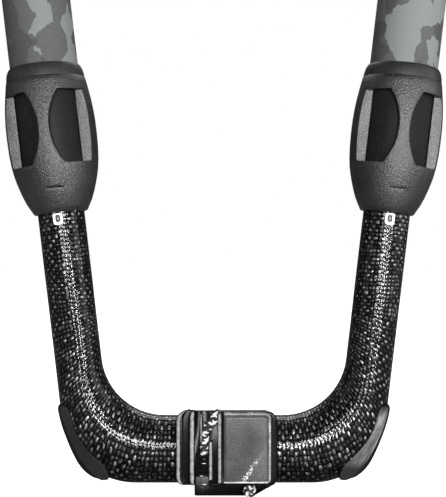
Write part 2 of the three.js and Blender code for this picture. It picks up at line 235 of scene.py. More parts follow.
def gloss_black(name):
    tone = (0.003, 0.003, 0.003)
    return moulded(name, tone, 0.26, grain=0.03, size=700, gloss=0.2, blotch=0.06)


def highlit_crest(name):
    """Black gloss plastic with a painted highlight: pale in patches along the ridges that stand furthest
    forward, where light would catch them.
    """
    made = gloss_black(name)
    tree = made.node_tree
    shader = tree.nodes["Principled BSDF"]
    dark = shader.inputs["Base Color"].links[0].from_socket
    smooth = shader.inputs["Roughness"].links[0].from_socket
    # Painted highlight: the faces furthest forward are painted pale grey in patches.
    front = fade(tree, axes(tree, object_place(tree))[1], -0.02095, -0.02137)
    patchy = maths(tree, "MULTIPLY_ADD", noise(tree, 420, 3, 0.65), 3.0, -0.6)
    lit_share = maths(tree, "MINIMUM", maths(tree, "MULTIPLY", front, patchy), 1.0)
    tone = blend(tree, lit_share, dark, (0.34, 0.35, 0.34, 1))
    tree.links.new(tone, shader.inputs["Base Color"])
    tree.links.new(maths(tree, "MULTIPLY_ADD", lit_share, 0.2, smooth), shader.inputs["Roughness"])
    return made


def rubber(name, painted_light=False):
    """Soft black rubber. With the flag set, it adds pale streaks along the front face of a pad: brushed
    grain, painted pale as painted light on that face.
    """
    made, tree, shader = material(name, (0.014, 0.014, 0.014), 0.4, Specular_IOR_Level=0.12)
    fine = noise(tree, 1500)
    smear = noise(tree, 45, 4, 0.6)
    tone = ramp(tree, smear, [(0.3, 0.006), (0.75, 0.014)])
    if painted_light:
        # Painted light: the front face, between foot and head, is painted pale in streaks as if lit.
        streaks = vectors(tree, "MULTIPLY", weave_map(tree), (1, 0.05, 1))
        lines = noise(tree, 1.5, 3, 0.7, vector=streaks)
        place = axes(tree, object_place(tree))
        front = fade(tree, place[1], -0.0108, -0.0112)
        foot = fade(tree, place[2], 0.013, 0.024)
        head = fade(tree, place[2], 0.0465, 0.041)
        lit_share = maths(tree, "MULTIPLY", front, maths(tree, "MULTIPLY", foot, head))
        stops = [(0.34, (0.05, 0.051, 0.05)), (0.5, (0.13, 0.132, 0.13)), (0.66, (0.3, 0.305, 0.3))]
        tone = blend(tree, lit_share, tone, ramp(tree, lines, stops))
    tree.links.new(tone, shader.inputs["Base Color"])
    tree.links.new(maths(tree, "MULTIPLY_ADD", smear, 0.2, 0.4), shader.inputs["Roughness"])
    bump(tree, shader, fine, 0.12, 0.0001)
    return made


def camouflage(name):
    """Two patterns of flat patches with bent borders, under a fine cloth weave."""
    made, tree, shader = material(name, (0.09, 0.1, 0.09), 0.8)
    place = vectors(tree, "MULTIPLY", object_place(tree), (1, 1, 0.75))
    bent = noise(tree, 110, 3, 0.6, vector=place, output="Color")
    moved = vectors(tree, "MULTIPLY_ADD", bent, (0.008, 0.008, 0.008), place)
    patches = []
    for scale, shift in ((66, 0.0), (50, 3.7)):
        at = vectors(tree, "ADD", moved, (shift, shift, shift))
        inputs = {"Vector": at, "Scale": scale, "Randomness": 1.0}
        field = node(tree, "ShaderNodeTexVoronoi", inputs, distance="MANHATTAN")
        parts = node(tree, "ShaderNodeSeparateColor", {0: field.outputs["Color"]})
        patches.append(parts.outputs[0])
    large, small = maths(tree, "MULTIPLY", patches[1], 0.35), patches[0]
    stops = [(0.0, (0.036, 0.0385, 0.036)), (0.36, (0.068, 0.073, 0.07)), (0.64, (0.195, 0.216, 0.208))]
    tones = ramp(tree, maths(tree, "MULTIPLY_ADD", small, 0.65, large), stops, sharp=True)
    weave = noise(tree, 1900)
    cloth = blend(tree, 0.22, tones, ramp(tree, weave, [(0.3, 0.03), (0.7, 0.22)]))
    tree.links.new(cloth, shader.inputs["Base Color"])
    bump(tree, shader, weave, 0.3, 0.0002)
    return made


def worn_and_highlit_plate(name):
    """Grey satin metal with a darker middle, a pale lower right corner, scratches along its edge and
    painted highlights on its lower, right and upper bevels.
    """
    made, tree, shader = material(name, (0.2, 0.2, 0.2), 0.42, Metallic=0.35)
    place = axes(tree, object_place(tree))
    x, z = maths(tree, "MULTIPLY", place[0], 1000), maths(tree, "MULTIPLY", place[2], 1000)
    cloud = noise(tree, 90, 4, 0.6)
    specks = noise(tree, 1900, 2, 0.7)

    # How far from the middle, and how far inside the slanting line that cuts off the corner.
    dx, dz = maths(tree, "MULTIPLY_ADD", x, 0.14, -2.0), maths(tree, "MULTIPLY_ADD", z, 0.08, -2.4)
    away = maths(tree, "SQRT", maths(tree, "MULTIPLY_ADD", dx, dx, maths(tree, "MULTIPLY", dz, dz)))
    middle = maths(tree, "MULTIPLY", maths(tree, "MINIMUM", away, 1.0), 0.24)
    slant = maths(tree, "MULTIPLY_ADD", x, 0.846, maths(tree, "MULTIPLY_ADD", z, -0.533, -3.1))
    ragged = maths(tree, "MULTIPLY_ADD", noise(tree, 420, 3, 0.6), 4.0, -2.0)
    inside = maths(tree, "ADD", slant, ragged)
    corner = maths(tree, "MULTIPLY", fade(tree, inside, -0.5, 0.6), 0.3)
    base = maths(tree, "MULTIPLY_ADD", specks, 0.75, maths(tree, "MULTIPLY_ADD", cloud, 0.35, -0.3))
    tone = maths(tree, "ADD", base, maths(tree, "MAXIMUM", middle, corner))

    # Scratches along the slanting line, on the lower half.
    beside = maths(tree, "ABSOLUTE", maths(tree, "SUBTRACT", inside, 1.0))
    beside = maths(tree, "MINIMUM", maths(tree, "MULTIPLY", beside, 0.6), 1.0)
    edge = maths(tree, "SUBTRACT", 1.0, beside)
    scores = fade(tree, noise(tree, 1300, 2, 0.7), 0.5, 0.62)
    low = fade(tree, z, 24.0, 15.0)
    scratch = maths(tree, "MULTIPLY", maths(tree, "MULTIPLY", edge, low), scores)

    # Painted highlights on the lower, right and upper bevels, patchy with the cloud.
    edges = fade(tree, x, 23.3, 24.2, high=0.25)
    edges = maths(tree, "MAXIMUM", edges, fade(tree, z, 43.4, 44.0, high=0.2))
    edges = maths(tree, "MAXIMUM", edges, fade(tree, z, 9.2, 8.0, high=0.45))
    painted_light = maths(tree, "MULTIPLY", edges, maths(tree, "MULTIPLY_ADD", cloud, 1.6, 0.2))
    tone = maths(tree, "ADD", tone, maths(tree, "ADD", scratch, painted_light))
    stops = [
        (0.2, (0.02, 0.021, 0.02)),
        (0.45, (0.048, 0.05, 0.048)),
        (0.68, (0.11, 0.114, 0.11)),
        (1.0, (0.8, 0.81, 0.8)),
    ]
    tree.links.new(ramp(tree, tone, stops), shader.inputs["Base Color"])
    tree.links.new(maths(tree, "MULTIPLY_ADD", cloud, 0.3, 0.3), shader.inputs["Roughness"])
    bump(tree, shader, specks, 0.35, 0.00012)
    return made


def plain(name, tone, roughness, **sockets):
    """One tone with fine speckles a little darker and lighter than it."""
    made, tree, shader = material(name, tone, roughness, **sockets)
    speckle = noise(tree, 900, 3)
    low = [c * 0.8 for c in tone]
    high = [min(1, c * 1.15) for c in tone]
    tree.links.new(ramp(tree, speckle, [(0.3, low), (0.7, high)]), shader.inputs["Base Color"])
    bump(tree, shader, speckle, 0.08, 0.0001)
    return made


COARSE = {"grain": 1.0, "size": 1300, "gloss": 1.0}
CARBON = carbon("carbon_weave")
COLLAR = moulded("collar_polymer", (0.0045, 0.0047, 0.0044), 0.38, depth=0.00042, lift=4.5, **COARSE)
# The recess walls are the collar's plastic painted lighter: painted light, as if lit from the front and
# back.
LIT_WALL = moulded("lit_recess_wall", (0.03, 0.031, 0.0295), 0.45, depth=0.00045, lift=5.0, **COARSE)
BAND = moulded("collar_band", (0.012, 0.0123, 0.0118), 0.5, grain=0.2, size=900, gloss=0.4)
DARK = moulded("ferrule_polymer", (0.006, 0.006, 0.0058), 0.55, grain=0.1, size=900, gloss=0.15)
FITTING = gloss_black("fitting_polymer")
CREST = highlit_crest("fitting_crest")
RUBBER = rubber("pad_rubber")
LIT_PAD_RUBBER = rubber("pad_rubber_rubbed", painted_light=True)
GRIP = camouflage("camouflage_grip")
PLATE = worn_and_highlit_plate("worn_and_highlit_plate")
STEEL = plain("screw_steel", (0.5, 0.5, 0.5), 0.32, Metallic=1.0)
STRAP = plain("strap_grey", (0.04, 0.04, 0.04), 0.5)
JAW = moulded("jaw_black", (0.0015, 0.0015, 0.0015), 0.6, grain=0.1, gloss=0.05)
NYLON = plain("pale_nylon", (0.58, 0.56, 0.5), 0.5)
LABEL = plain("label_white", (0.8, 0.8, 0.78), 0.4)
INK = plain("label_ink", (0.01, 0.01, 0.01), 0.5)
CORD_BLACK = plain("cord_black", (0.012, 0.012, 0.012), 0.75)
CORD_WHITE = plain("cord_white", (0.7, 0.7, 0.67), 0.7)

# ---------- mesh helpers ----------


def finish_mesh(name, mesh, mat, body, replaced=(), angle=35, matrix=None):
    """A piece that rides on a body. The matrix and the scale from millimetres are applied to its mesh."""
    mesh.materials.append(mat)
    made = add_object(name, mesh)
    if matrix is not None:
        mesh.transform(matrix)
    mesh.transform(Matrix.Scale(MM, 4))
    for polygon in mesh.polygons:
        polygon.use_smooth = True
    mesh.set_sharp_from_angle(angle=math.radians(angle))
    mesh.update()
    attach(made, body)
    if replaced:
        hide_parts(*replaced)


def loft(rings, caps=True, closed=False, uvs=None):
    """A mesh from rings of points. uvs gives (u across one turn, [v of each ring]) for the weave map.

    A closed loft joins its last ring to its first and has no caps.
    """
    mesh = bpy.data.meshes.new("loft")
    grid = bmesh.new()
    rows = [[grid.verts.new(p) for p in ring] for ring in rings]
    count = len(rows[0])
    layer = grid.loops.layers.uv.new("weave") if uvs else None
    steps = len(rows) if closed else len(rows) - 1
    for i in range(steps):
        for j in range(count):
            a, b = rows[i], rows[(i + 1) % len(rows)]
            k = (j + 1) % count
            face = grid.faces.new((a[j], a[k], b[k], b[j]))
            if layer:
                turns, along = uvs
                corners = ((j, i), (j + 1, i), (j + 1, i + 1), (j, i + 1))
                for loop, (cu, cv) in zip(face.loops, corners):
                    loop[layer].uv = (turns * cu / count, along[cv])
    if caps and not closed:
        grid.faces.new(rows[0][::-1])
        grid.faces.new(rows[-1])
    bmesh.ops.recalc_face_normals(grid, faces=grid.faces)
    grid.to_mesh(mesh)
    grid.free()
    return mesh


def circle(radius, s, count):
    """A ring round a leg's axis, s along it."""
    ring = []
    for j in range(count):
        t = 2 * math.pi * j / count
        ring.append(Vector((radius * math.cos(t), radius * math.sin(t), s)))
    return ring


def turned(profile, count=96, uvs=None):
    """A closed profile of (radius, distance along) turned round a leg's axis."""
    return loft([circle(r, s, count) for r, s in profile], closed=True, uvs=uvs)


def rounded(corners, steps=6):
    """The outline through corners given as (a, b, radius), each rounded by its radius."""
    out = []
    for i, corner in enumerate(corners):
        here, radius = Vector(corner[:2]), corner[2]
        last = Vector(corners[i - 1][:2])
        following = Vector(corners[(i + 1) % len(corners)][:2])
        back, on = (last - here).normalized(), (following - here).normalized()
        reach = radius / math.tan(back.angle(on) / 2)
        a, b = here + back * reach, here + on * reach
        for k in range(steps + 1):
            t = k / steps
            out.append(a * (1 - t) ** 2 + here * 2 * t * (1 - t) + b * t * t)
    return out


def bar(name, low, high, edge, mat, replaced=()):
    """A box between two corners with rounded edges."""
    mesh = bpy.data.meshes.new(name)
    grid = bmesh.new()
    bmesh.ops.create_cube(grid, size=1)
    for vert in grid.verts:
        vert.co = Vector((low[i] + (vert.co[i] + 0.5) * (high[i] - low[i]) for i in range(3)))
    bmesh.ops.bevel(grid, geom=grid.edges[:], offset=edge, segments=3, affect="EDGES", profile=0.5)
    grid.to_mesh(mesh)
    grid.free()
    finish_mesh(name, mesh, mat, "tail", replaced, angle=60)


def rounded_edges(made, width, angle, clamp):
    """Rounds the sharp edges of a work object. Gives its finished mesh and removes the object."""
    rim = made.modifiers.new("rim", "BEVEL")
    rim.width = width
    rim.segments = 3
    rim.limit_method = "ANGLE"
    rim.angle_limit = math.radians(angle)
    rim.use_clamp_overlap = clamp
    bpy.context.view_layer.update()
    graph = bpy.context.evaluated_depsgraph_get()
    done = bpy.data.meshes.new_from_object(made.evaluated_get(graph))
    bpy.data.objects.remove(made)
    return done


def leg_matrix(side):
    """From a leg's own axis, with zero at the foot of its collar, to the whole."""
    place = Matrix.Translation((side * FOOT[0], 0, FOOT[1]))
    return place @ Matrix.Rotation(side * LEAN, 4, "Y")


# ---------- tail tube ----------


BEND_TOP, BEND_FOOT = 105, 30  # the bend's stretch begins at this height and ends this far from the middle
BEND_STEPS = 48
DEEPER = (0.15, 0.85)  # shares of the bend between which the tube grows deeper
WALL_THICK = 2


def edge_curve(sideways, height, radius, count):
    """One edge of the bend: down the leg, round the corner and in to the crossbar, evenly divided."""
    tan = math.tan(LEAN)
    offset = sideways / math.cos(LEAN)

    def leg_x(z):
        return FOOT[0] + offset + (z - FOOT[1]) * tan

    turn = math.pi / 2 - LEAN
    base = BASE_Z + (height if sideways < 0 else -height)
    centre = Vector((leg_x(base) - radius * math.tan(turn / 2), base + radius))
    points = [Vector((leg_x(BEND_TOP), BEND_TOP))]
    for i in range(BEND_STEPS + 1):
        angle = LEAN + turn * i / BEND_STEPS
        points.append(centre + Vector((radius * math.cos(angle), -radius * math.sin(angle))))
    points.append(Vector((BEND_FOOT, base)))
    spans = [(b - a).length for a, b in zip(points, points[1:])]
    total, out, i, gone = sum(spans), [], 0, 0.0
    for k in range(count + 1):
        want = total * k / count
        while i < len(spans) - 1 and gone + spans[i] < want:
            gone += spans[i]
            i += 1
        out.append(points[i].lerp(points[i + 1], min(1, (want - gone) / spans[i])))
    return out


def tail_rings(shrink, count, segments):
    """Rings along the whole U, from one leg's end to the other's, and the length along it at each."""
    inner = edge_curve(-LEG_R, BASE_HALF, INNER_BEND, count)
    outer = edge_curve(LEG_R, BASE_HALF, OUTER_BEND, count)
    stations = []
    for s in (LEG_END, 170, 125, 80, 35, 0, -25):
        at = Vector((FOOT[0] + s * math.sin(LEAN), FOOT[1] + s * math.cos(LEAN)))
        side = Vector((math.cos(LEAN), -math.sin(LEAN))) * LEG_R
        stations.append((at - side, at + side, LEG_R))
    for i in range(count + 1):
        share = min(1, max(0, (i / count - DEEPER[0]) / (DEEPER[1] - DEEPER[0])))
        share = share * share * (3 - 2 * share)
        stations.append((inner[i], outer[i], LEG_R + (BASE_DEPTH - LEG_R) * share))
    rings, along = [], []
    for a, b, depth in stations:
        middle = (a + b) / 2
        across = (b - a) / 2
        width = across.length
        across.normalize()
        ring = []
        for j in range(segments):
            t = 2 * math.pi * j / segments
            at = middle + across * (width - shrink) * math.cos(t)
            ring.append(Vector((at.x, (depth - shrink) * math.sin(t), at.y)))
        rings.append(ring)
        along.append(middle)
    mirrored = [[Vector((-p.x, p.y, p.z)) for p in ring] for ring in reversed(rings)]
    middles = along + [Vector((-m.x, m.y)) for m in reversed(along)]
    lengths = [0.0]
    for p, q in zip(middles, middles[1:]):
        lengths.append(lengths[-1] + (q - p).length)
    return rings + mirrored, lengths


outside, lengths = tail_rings(0, 64, 96)
tail_mesh = loft(outside, caps=False, uvs=(CELLS_ROUND_TAIL, [d / CELL for d in lengths]))
finish_mesh("tail_weave", tail_mesh, CARBON, "tail", ["tail_frame"], angle=60)
bore_mesh = loft(tail_rings(WALL_THICK, 24, 48)[0], caps=False)
finish_mesh("tail_bore", bore_mesh, DARK, "tail", angle=60)
for side, label in SIDES:
    rim = loft([circle(r, LEG_END, 96) for r in (LEG_R - WALL_THICK, LEG_R)], caps=False)
    finish_mesh(label + "_leg_rim", rim, DARK, "tail", matrix=leg_matrix(side))

# ---------- bend pads ----------

# The pad's inner and outer edge as (x, z, x, z), and its section as (share of the way out, y).
PAD = [
    (84.6, 46.4, 88.9, 47.5),
    (83.1, 43.6, 90.7, 44.9),
    (80.2, 36.7, 89.2, 37.2),
    (77.1, 30.9, 86.8, 30.0),
    (73.1, 24.7, 83.7, 22.3),
    (68.6, 19.3, 80.4, 15.6),
    (64.6, 15.3, 77.0, 11.0),
    (62.3, 10.8, 72.9, 7.9),
    (61.9, 8.6, 69.4, 6.95),
    (62.4, 7.3, 67.0, 6.8),
]
PAD_SECTION = [
    (0, -8.6),
    (0.015, -10.7),
    (0.05, -11.2),
    (0.1, -11.3),
    (0.13, -11.3),
    (0.61, -11.3),
    (0.64, -11.3),
    (0.67, -11.2),
    (0.7, -10.8),
    (0.72, -10.1),
    (0.8, -9.2),
    (0.88, -7.8),
    (0.95, -5.6),
    (0.99, -3.2),
    (1, 0),
]


def smooth_path(points, per):
    """Catmull-Rom through the points, per steps between each two."""
    points = [Vector(p) for p in points]
    padded = [points[0] * 2 - points[1], *points, points[-1] * 2 - points[-2]]
    out = []
    for a, b, c, d in zip(padded, padded[1:], padded[2:], padded[3:]):
        for k in range(per):
            t = k / per
            cubic = b * 3 - a - c * 3 + d
            out.append((b * 2 + (c - a) * t + (a * 2 - b * 5 + c * 4 - d) * t**2 + cubic * t**3) / 2)
    out.append(points[-1])
    return out


def pad_mesh(side):
    section = PAD_SECTION + [(a, -y) for a, y in reversed(PAD_SECTION[:-1])]
    rings = []
    for station in smooth_path(PAD, 6):
        inner, outer = Vector(station[:2]), Vector(station[2:])
        places = [(inner.lerp(outer, share), y) for share, y in section]
        rings.append([Vector((side * at.x, y, at.y)) for at, y in places])
    return loft(rings, uvs=(len(section), range(len(rings))))


for side, label in SIDES:
    # Only the right pad takes the rubber with painted light on its front face.
    mat = LIT_PAD_RUBBER if side > 0 else RUBBER
    finish_mesh(label + "_pad", pad_mesh(side), mat, "tail", [label + "_bend_pad"], angle=24)

# ---------- collars, ferrules, arms ----------

# Profiles of (radius, distance along the leg).
COLLAR_PROFILE = [
    (13.4, 0.3),
    (14.0, 0.0),
    (14.6, 0.25),
    (16.2, 3.2),
    (17.7, 6),
    (19.4, 10.2),
    (20.9, 14.8),
    (22.1, 19),
    (23.0, 23),
    (23.75, 28),
    (24.25, 34.5),
    (24.45, 42),
    (24.4, 49),
    (24.05, 55),
    (23.55, 60),
    (22.85, 65),
    (22.2, 69),
    (21.65, 72.3),
    (21.35, 72.6),
    (21.35, 73),
    (21.1, 75.2),
    (20.75, 77),
    (20.2, 78.4),
    (19.6, 79.5),
    (19.2, 79.95),
    (18.9, 79.6),
    (18.9, 73.4),
    (19.3, 73.2),
    (19.15, 66),
    (19.15, 22),
    (18, 20.5),
    (15.6, 5),
    (13.4, 5),
]
WINDOW = (25.5, 64.5)
RECESS_Y = 10  # the flat wall at the back of a recess
BAND_FROM = 72.6  # the plain band above this has its own finish
OUTSIDE = 32  # past the collar on every side
SLIT = ((-3, 12.7), (9, 12.7), (9, 13.2), (-3, 13.2))
SLIT_Y = -19.4


def cutter(outline, near, far):
    return add_object("cutter", loft([[Vector((x, y, s)) for x, s in outline] for y in (near, far)]))


def window_cutter(side, front):
    """One finger recess: a curved edge next to the middle rib, straight everywhere else."""
    middle, half = sum(WINDOW) / 2, (WINDOW[1] - WINDOW[0]) / 2
    outline = []
    for i in range(25):
        t = -1 + i / 12
        outline.append((side * (2.9 + 5.9 * abs(t) ** 2.1), middle + half * t))
    outline += [(side * OUTSIDE, WINDOW[1]), (side * OUTSIDE, WINDOW[0])]
    near, far = (-OUTSIDE, -RECESS_Y) if front else (RECESS_Y, OUTSIDE)
    return cutter(outline, near, far)


def collar_mesh():
    """The sleeve with its four recesses and the thin slot in the front of its bowl."""
    made = add_object("collar_work", turned(COLLAR_PROFILE, 144))
    cutters = [window_cutter(side, front) for side in (-1, 1) for front in (True, False)]
    cutters.append(cutter(SLIT, SLIT_Y, -OUTSIDE))
    for shape in cutters:
        modifier = made.modifiers.new("cut", "BOOLEAN")
        modifier.operation = "DIFFERENCE"
        modifier.solver = "EXACT"
        modifier.object = shape
    done = rounded_edges(made, 0.45, 50, clamp=False)
    for shape in cutters:
        bpy.data.objects.remove(shape)
    return done


def on_recess_wall(polygon):
    """True for the flat back walls of the recesses."""
    at, normal = polygon.center, polygon.normal
    along = WINDOW[0] < at.z < WINDOW[1]
    return along and abs(normal.y) > 0.97 and abs(abs(at.y) - RECESS_Y) < 0.2


FERRULE_PROFILE = [
    (16.3, 22),
    (18.5, 22),
    (18.7, 23),
    (18.7, 66.4),
    (19.1, 66.4),
    (19.1, 69.6),
    (16.3, 69.6),
]
GRIP_PROFILE = [
    (16.3, 70.6),
    (18.3, 70.6),
    (18.5, 71),
    (18.5, 110),
    (18.5, 165),
    (18.5, 217.5),
    (18.2, 219.3),
    (17.4, 220),
    (16.3, 220),
]
TUBE_PROFILE = [
    (13.4, 22),
    (16, 22),
    (16, 75),
    (16, 150),
    (16, 219),
    (16, 234.7),
    (15.7, 235),
    (13.7, 235),
    (13.4, 234.7),
]

collar_done = collar_mesh()
tube_cells = [s / CELL for _, s in TUBE_PROFILE] + [0]
for side, label in SIDES:
    place = leg_matrix(side)
    arm, collar = label + "_arm", label + "_collar"
    shell = collar_done.copy()
    band = [polygon.index for polygon in shell.polygons if polygon.center.z > BAND_FROM]
    walls = [polygon.index for polygon in shell.polygons if on_recess_wall(polygon)]
    shell_node = [collar + "_shell"]
    finish_mesh(label + "_sleeve", shell, COLLAR, collar, shell_node, angle=42, matrix=place)
    for mat, chosen in ((BAND, band), (LIT_WALL, walls)):
        shell.materials.append(mat)
        for index in chosen:
            shell.polygons[index].material_index = len(shell.materials) - 1
    ferrule = turned(FERRULE_PROFILE)
    finish_mesh(label + "_ferrule", ferrule, DARK, arm, [collar + "_ferrule"], matrix=place)
    finish_mesh(label + "_grip", turned(GRIP_PROFILE), GRIP, arm, [arm + "_grip"], matrix=place)
    tube = turned(TUBE_PROFILE, uvs=(CELLS_ROUND_ARM, tube_cells))
    finish_mesh(label + "_tube", tube, CARBON, arm, [arm + "_tube"], matrix=place)

# ---------- scale marks ----------


MARK = [(-2.6, -6.8, 1.7), (2.6, -6.8, 1.7), (2.6, -0.7, 0.3), (-2.6, -0.7, 0.3)]
MARK_RADII = (12.72, 12.96)
DIGIT_RADII = (12.99, 13.04)
DIGIT_MIDDLE = -3.4
DIGIT_OUTER, DIGIT_INNER = (1.3, 1.95), (0.22, 0.75)  # half width, half height


def wrapped(points, radius):
    """An outline in (width, height) bent round the front of a leg."""
    turns = [(p.x / radius, p.y) for p in points]
    return [Vector((radius * math.sin(t), -radius * math.cos(t), height)) for t, height in turns]


def squarish(part):
    return math.copysign(abs(part) ** 0.7, part)


def oval(half_width, half_height, count=28):
    """A tall oval with slightly squared shoulders."""
    points = []
    for k in range(count):
        t = 2 * math.pi * k / count
        across, up = squarish(math.cos(t)), squarish(math.sin(t))
        points.append(Vector((half_width * across, DIGIT_MIDDLE + half_height * up)))
    return points


for side, label in SIDES:
    place = leg_matrix(side)
    mark = loft([wrapped(rounded(MARK), r) for r in MARK_RADII])
    finish_mesh(label + "_mark", mark, LABEL, "tail", [label + "_scale_label"], matrix=place)
    low, high = DIGIT_RADII
    outer, inner = oval(*DIGIT_OUTER), oval(*DIGIT_INNER)
    rings = [wrapped(outer, low), wrapped(outer, high), wrapped(inner, high), wrapped(inner, low)]
    finish_mesh(label + "_mark_digit", loft(rings, closed=True), INK, "tail", matrix=place)

# ---------- outhaul fitting ----------

RIB_BASE = -15.4
ROLL_INNER_X = -15.55
ROLL_WIDE = 9.8
ROLL_Z = (6.6, 46.3)
ROLL_EDGE = 1.6  # how far its front is rounded at both ends
ROLL_MIDDLE = 26  # below this height the lower corner's rounding holds, above it the upper one's
LOW_CORNER, HIGH_CORNER = (4.6, 1.0), (5.4, 1.4)  # radius, stretch sideways
REAR_Y = -15  # points behind this belong to the roll's and the flange's rear
REAR_DROP = 0.048  # how far the roll's rear lies lower, as a share of the height

# The roll's section as (x, y), from its rear edge round its two ridges.
ROLL = [
    (-15.55, -12),
    (-25.1, -12),
    (-25.4, -18.2),
    (-25.38, -20.0),
    (-25.2, -20.8),
    (-24.95, -21.12),
    (-24.55, -21.3),
    (-24.1, -21.36),
    (-23.65, -21.28),
    (-23.2, -21.05),
    (-22.7, -20.6),
    (-22.0, -19.9),
    (-20.6, -19.5),
    (-19.2, -19.6),
    (-18.6, -20.0),
    (-18.15, -20.8),
    (-17.8, -21.15),
    (-17.3, -21.35),
    (-16.8, -21.4),
    (-16.3, -21.35),
    (-15.85, -21.1),
    (-15.55, -20.5),
]


def eased(low, high, steps):
    """Heights from low to high, closer together near both ends."""
    shares = [0.5 - 0.5 * math.cos(math.pi * k / steps) for k in range(steps + 1)]
    return [low + (high - low) * share for share in shares]


def rounding(near, radius):
    """How far a rounded edge lies back at this distance from its end."""
    if near >= radius:
        return 0
    return radius - math.sqrt(max(0, radius**2 - (radius - near) ** 2))


def roll_mesh():
    """The rolled left side, with round outer corners. The upper one is larger and stretched."""
    rings = []
    low, high = ROLL_Z
    for z in eased(low, high, 28):
        near = min(z - low, high - z)
        corner, stretch = LOW_CORNER if z < ROLL_MIDDLE else HIGH_CORNER
        back = rounding(near, corner) * stretch
        soft = rounding(near, ROLL_EDGE)
        ring = []
        for x, y in ROLL:
            share = max(0, (ROLL_INNER_X - x) / ROLL_WIDE)
            drop = (z - low) * REAR_DROP if y > REAR_Y else 0
            ring.append(Vector((x + back * share, y + (soft if y < REAR_Y else 0), z - drop)))
        rings.append(ring)
    return loft(rings)


def rib(name, low_x, high_x, top, low_z, high_z):
    """A rib with a softly crowned front, rounded over at both ends."""
    half, middle = (high_x - low_x) / 2, (low_x + high_x) / 2
    rings = []
    for z in eased(low_z, high_z, 20):
        soft = rounding(min(z - low_z, high_z - z), 0.9)
        ring = [Vector((middle - half, RIB_BASE, z))]
        for j in range(13):
            t = math.pi * j / 12
            crown = half * 0.8 * (1 - math.sin(t))
            ring.append(Vector((middle - half * math.cos(t), top + soft + crown, z)))
        ring.append(Vector((middle + half, RIB_BASE, z)))
        rings.append(ring)
    finish_mesh(name, loft(rings), CREST, "tail", angle=50)


def rect_ring(left, low, right, high, y, near, far, top):
    """A rectangle across Y. Its left is rounded by near, its lower right by far, its upper right by top."""
    corners = [(left, low, near), (right, low, far), (right, high, top), (left, high, near)]
    return [Vector((p.x, y, p.y)) for p in rounded(corners, 8)]


finish_mesh("fitting_roll", roll_mesh(), CREST, "tail", angle=50)
rib("channel_rib_thin", -12.75, -11.35, -21.2, 29, 44.9)
rib("channel_rib_low", -8.1, -6.0, -21.35, 9.2, 30)
rib("channel_rib_tall", -3.4, -1.2, -21.35, 7.4, 44.8)


def flange_mesh():
    """The rounded edge to the right of the plate. Its rear stays lower, out of sight."""
    stations = [(0, -12), (0, -19.2), (0.2, -19.9), (0.7, -20.4), (1.4, -20.6), (2.2, -20.6)]
    rings = []
    for d, y in stations:
        high = 44.2 if y > REAR_Y else 45.9
        edges = (20, 6.8 + d * 0.5, 28.2 - d, high - d * 0.5)
        rings.append(rect_ring(*edges, y, 0.5, 4.8 - d, 6.8 - d))
    return loft(rings)


finish_mesh("flange_edge", flange_mesh(), FITTING, "tail", angle=50)
bar("strap_band", (-14.9, -21.0, 7.4), (-8.3, -20.2, 11.3), 0.3, STRAP, ["cleat_strap"])
bar("strap_rib", (-12.7, -21.5, 7.3), (-11.8, -20.3, 11.4), 0.3, STRAP)


def plate_mesh():
    """The cover plate with a fine groove inside its edge. Stations are (inset, y, corner radius)."""
    stations = [
        (0, -18.9, 2.2),
        (0, -20.2, 2.2),
        (0.2, -20.75, 2.0),
        (0.55, -21.05, 1.8),
        (1.0, -21.15, 1.5),
        (1.9, -21.2, 1.0),
        (2.15, -21.1, 0.9),
        (2.3, -20.8, 0.8),
        (2.6, -20.8, 0.8),
        (2.75, -21.1, 0.8),
        (3.0, -21.2, 0.8),
        (3.6, -21.25, 0.8),
    ]
    rings = []
    for d, y, r in stations:
        edges = (-0.15 + d * 0.35, 7.6 + d * 0.45, 24.95 - d * 0.8, 45.3 - d * 0.95)
        rings.append(rect_ring(*edges, y, 0.4, r + 0.8, r + 1.6))
    return loft(rings)


finish_mesh("plate_face", plate_mesh(), PLATE, "tail", ["cover_plate"], angle=50)

# ---------- outhaul line ----------

LINE = [
    (-3, -11.3, 41.3),
    (-3.1, -14.2, 43),
    (-3.6, -17, 43.6),
    (-5, -18.7, 41.6),
    (-6.9, -18.8, 39.4),
    (-8.9, -18.7, 36.6),
    (-10.1, -18.6, 32.8),
    (-10.4, -18.4, 27),
    (-10.6, -18.1, 19),
    (-10.7, -17.8, 12.5),
    (-10.4, -16, 8),
    (-9.2, -13.4, 4.8),
    (-6, -12, 3.4),
    (0, -11.8, 3.2),
    (8, -11.8, 3.2),
    (11.6, -12.8, 3.2),
    (13.3, -15.6, 3.3),
    (13.6, -19, 3.4),
]
FRONT_KNOT, TOP_KNOT = (13.6, -18.9, 3.5), LINE[0]
STRANDS = 8


def frames(path):
    """A direction across the path at each point, carried along without twist."""
    side = Vector((1, 0, 0))
    out = []
    for i, here in enumerate(path):
        ahead = path[min(i + 1, len(path) - 1)] - path[max(i - 1, 0)]
        ahead.normalize()
        side = (side - ahead * side.dot(ahead)).normalized()
        out.append((here, side, ahead.cross(side)))
    return out


def strand(basis, along, radius, start, way, lay):
    """One flat strand wound round the path. It goes over and under the strands of the other way."""
    thick = radius * 0.5
    high, wide = thick * 0.72, thick * 1.35
    rings = []
    for (here, side, up), gone in zip(basis, along):
        turn = 2 * math.pi * gone / lay
        angle = way * turn + start
        weave = math.cos(turn * STRANDS / 2 + (math.pi if way > 0 else 0))
        reach = radius - thick * 0.75 + thick * 0.4 * weave
        out = side * math.cos(angle) + up * math.sin(angle)
        beside = up * math.cos(angle) - side * math.sin(angle)
        centre = here + out * reach
        ring = []
        for j in range(8):
            t = 2 * math.pi * j / 8
            ring.append(centre + out * high * math.cos(t) + beside * wide * math.sin(t))
        rings.append(ring)
    return loft(rings)


def joined(name, meshes):
    grid = bmesh.new()
    for mesh in meshes:
        grid.from_mesh(mesh)
    whole = bpy.data.meshes.new(name)
    grid.to_mesh(whole)
    grid.free()
    return whole


